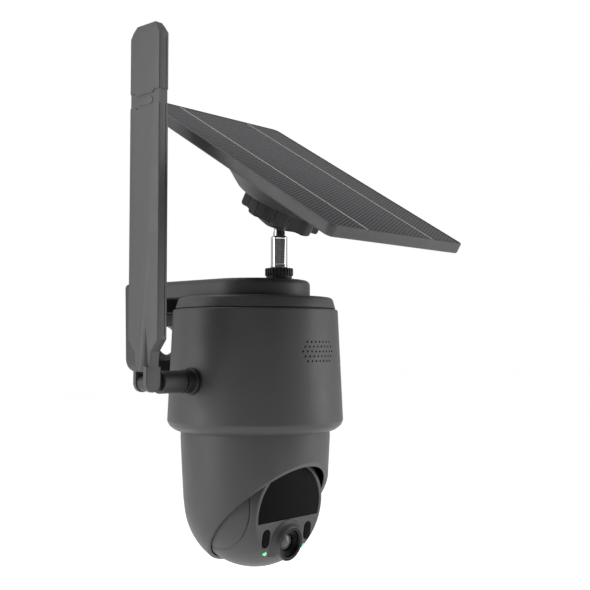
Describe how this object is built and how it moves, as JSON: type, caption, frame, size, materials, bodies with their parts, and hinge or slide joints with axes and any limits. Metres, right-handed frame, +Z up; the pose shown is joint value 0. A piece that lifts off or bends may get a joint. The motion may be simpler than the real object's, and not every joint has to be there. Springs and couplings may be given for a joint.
{
  "type": "solar-powered security camera",
  "caption": "Pan-and-tilt security camera under a wall arm, with a folding paddle antenna and a solar panel on a ball joint.",
  "frame": {"origin": "on the wall box's flat back face, on the centreline, level with the middle of the arm", "axes": "+Y into the wall, the lens looks along -Y, +Z up, the antenna is on the -X side"},
  "size_m": [0.1415, 0.1842, 0.2916],
  "materials": {
    "charcoal": "fine spark texture, moulded",
    "dark_plastic": "fine texture, moulded",
    "antenna_plastic": "satin, moulded",
    "black_gloss": "gloss, infrared-passing",
    "rubber": "matt",
    "chrome": "bright plated",
    "brass": "turned",
    "steel": "plated",
    "board": "solder resist",
    "acetal": "natural",
    "cell_wrap": "shrunk film",
    "solar": "textured film over cells",
    "lens": "coated",
    "green_light": "lit",
    "cyan_light": "lit"
  },
  "bodies": {
    "housing": {"wall_bracket": "dark_plastic", "top_cap": "charcoal", "cap_seal": "rubber", "upper_housing": "charcoal", "base_plate": "dark_plastic", "base_screw_1": "steel", "base_screw_2": "steel", "base_screw_3": "steel", "battery_cell_1": "cell_wrap", "battery_cell_2": "cell_wrap", "battery_cell_3": "cell_wrap", "main_board": "board", "speaker_driver": "dark_plastic", "port_board": "board", "pan_motor": "steel", "pan_bearing": "acetal", "antenna_jack": "brass", "jack_seal": "rubber", "antenna_lead": "rubber", "stud_insert": "brass"},
    "port_flap": {"port_cover": "rubber"},
    "button": {"power_button": "rubber"},
    "pan_drive": {"pan_pinion": "acetal"},
    "yoke": {"yoke_shell": "charcoal", "turntable": "dark_plastic", "pan_gear": "acetal", "hub_nut": "steel", "trunnion_pin": "steel", "tilt_axle": "steel", "tilt_gear": "acetal"},
    "ball": {"ball_shell": "charcoal", "ball_cap_left": "charcoal", "ball_cap_right": "charcoal", "light_window": "black_gloss", "sensor_window_left": "black_gloss", "sensor_window_right": "black_gloss", "lens_bezel": "black_gloss", "lens_barrel": "black_gloss", "lens_glass": "lens", "status_led": "green_light", "signal_led": "cyan_light", "light_board": "board", "sensor_board": "board", "tilt_motor": "steel"},
    "tilt_drive": {"tilt_pinion": "acetal"},
    "antenna_base": {"antenna_knuckle": "dark_plastic", "antenna_pin": "steel"},
    "antenna": {"antenna_blade": "antenna_plastic", "antenna_radiator": "board"},
    "nut": {"thumb_nut": "rubber"},
    "stalk": {"knurled_sleeve": "chrome", "ball_stud": "chrome"},
    "seat": {"ball_seat": "acetal"},
    "panel": {"socket_dish": "antenna_plastic", "panel_frame": "antenna_plastic", "solar_laminate": "solar"},
    "clamp": {"clamp_nut": "dark_plastic"}
  },
  "joints": [
    {"name": "pan", "type": "hinge", "parent": "housing", "child": "yoke", "pos_m": [0, -0.08, -0.07845], "axis": [0, 0, 1], "range_deg": [-175, 175]},
    {"name": "pan_pinion_spin", "type": "hinge", "parent": "housing", "child": "pan_drive", "pos_m": [-0.01838, -0.09839, -0.07445], "axis": [0, 0, 1], "range_deg": [-530, 530]},
    {"name": "tilt", "type": "hinge", "parent": "yoke", "child": "ball", "pos_m": [0, -0.08, -0.11915], "axis": [1, 0, 0], "range_deg": [-20, 60]},
    {"name": "tilt_pinion_spin", "type": "hinge", "parent": "ball", "child": "tilt_drive", "pos_m": [0.026, -0.06664, -0.11718], "axis": [1, 0, 0], "range_deg": [-45, 125]},
    {"name": "antenna_swivel", "type": "hinge", "parent": "housing", "child": "antenna_base", "pos_m": [-0.056, -0.08, -0.05145], "axis": [1, 0, 0], "range_deg": [-180, 180]},
    {"name": "antenna_fold", "type": "hinge", "parent": "antenna_base", "child": "antenna", "pos_m": [-0.08, -0.08, -0.05145], "axis": [0, -1, 0], "range_deg": [0, 90]},
    {"name": "thumb_nut_turn", "type": "hinge", "parent": "housing", "child": "nut", "pos_m": [0, -0.0983, 0.00855], "axis": [0, 0, 1], "continuous": true},
    {"name": "stalk_swivel", "type": "hinge", "parent": "housing", "child": "stalk", "pos_m": [0, -0.0983, 0.01655], "axis": [0, 0, 1], "range_deg": [-30, 30]},
    {"name": "panel_tilt", "type": "hinge", "parent": "stalk", "child": "seat", "pos_m": [0, -0.0983, 0.03955], "axis": [1, 0, 0], "range_deg": [-31, 14]},
    {"name": "panel_spin", "type": "hinge", "parent": "seat", "child": "panel", "pos_m": [0, -0.0983, 0.03955], "axis": [0, -0.518, 0.8554], "range_deg": [-15, 15]},
    {"name": "clamp_nut_turn", "type": "hinge", "parent": "panel", "child": "clamp", "pos_m": [0, -0.0983, 0.03955], "axis": [0, -0.518, 0.8554], "continuous": true},
    {"name": "port_cover_open", "type": "hinge", "parent": "housing", "child": "port_flap", "pos_m": [0.048, -0.069, -0.04845], "axis": [0, 0, 1], "range_deg": [0, 110]},
    {"name": "power_press", "type": "slide", "parent": "housing", "child": "button", "axis": [-1, 0, 0], "range_m": [0, 0.0006], "stiffness_N_per_m": 600}
  ],
  "couplings": [
    {"joint": "pan_pinion_spin", "follows": "pan", "ratio": -3},
    {"joint": "tilt_pinion_spin", "follows": "tilt", "ratio": 2}
  ]
}
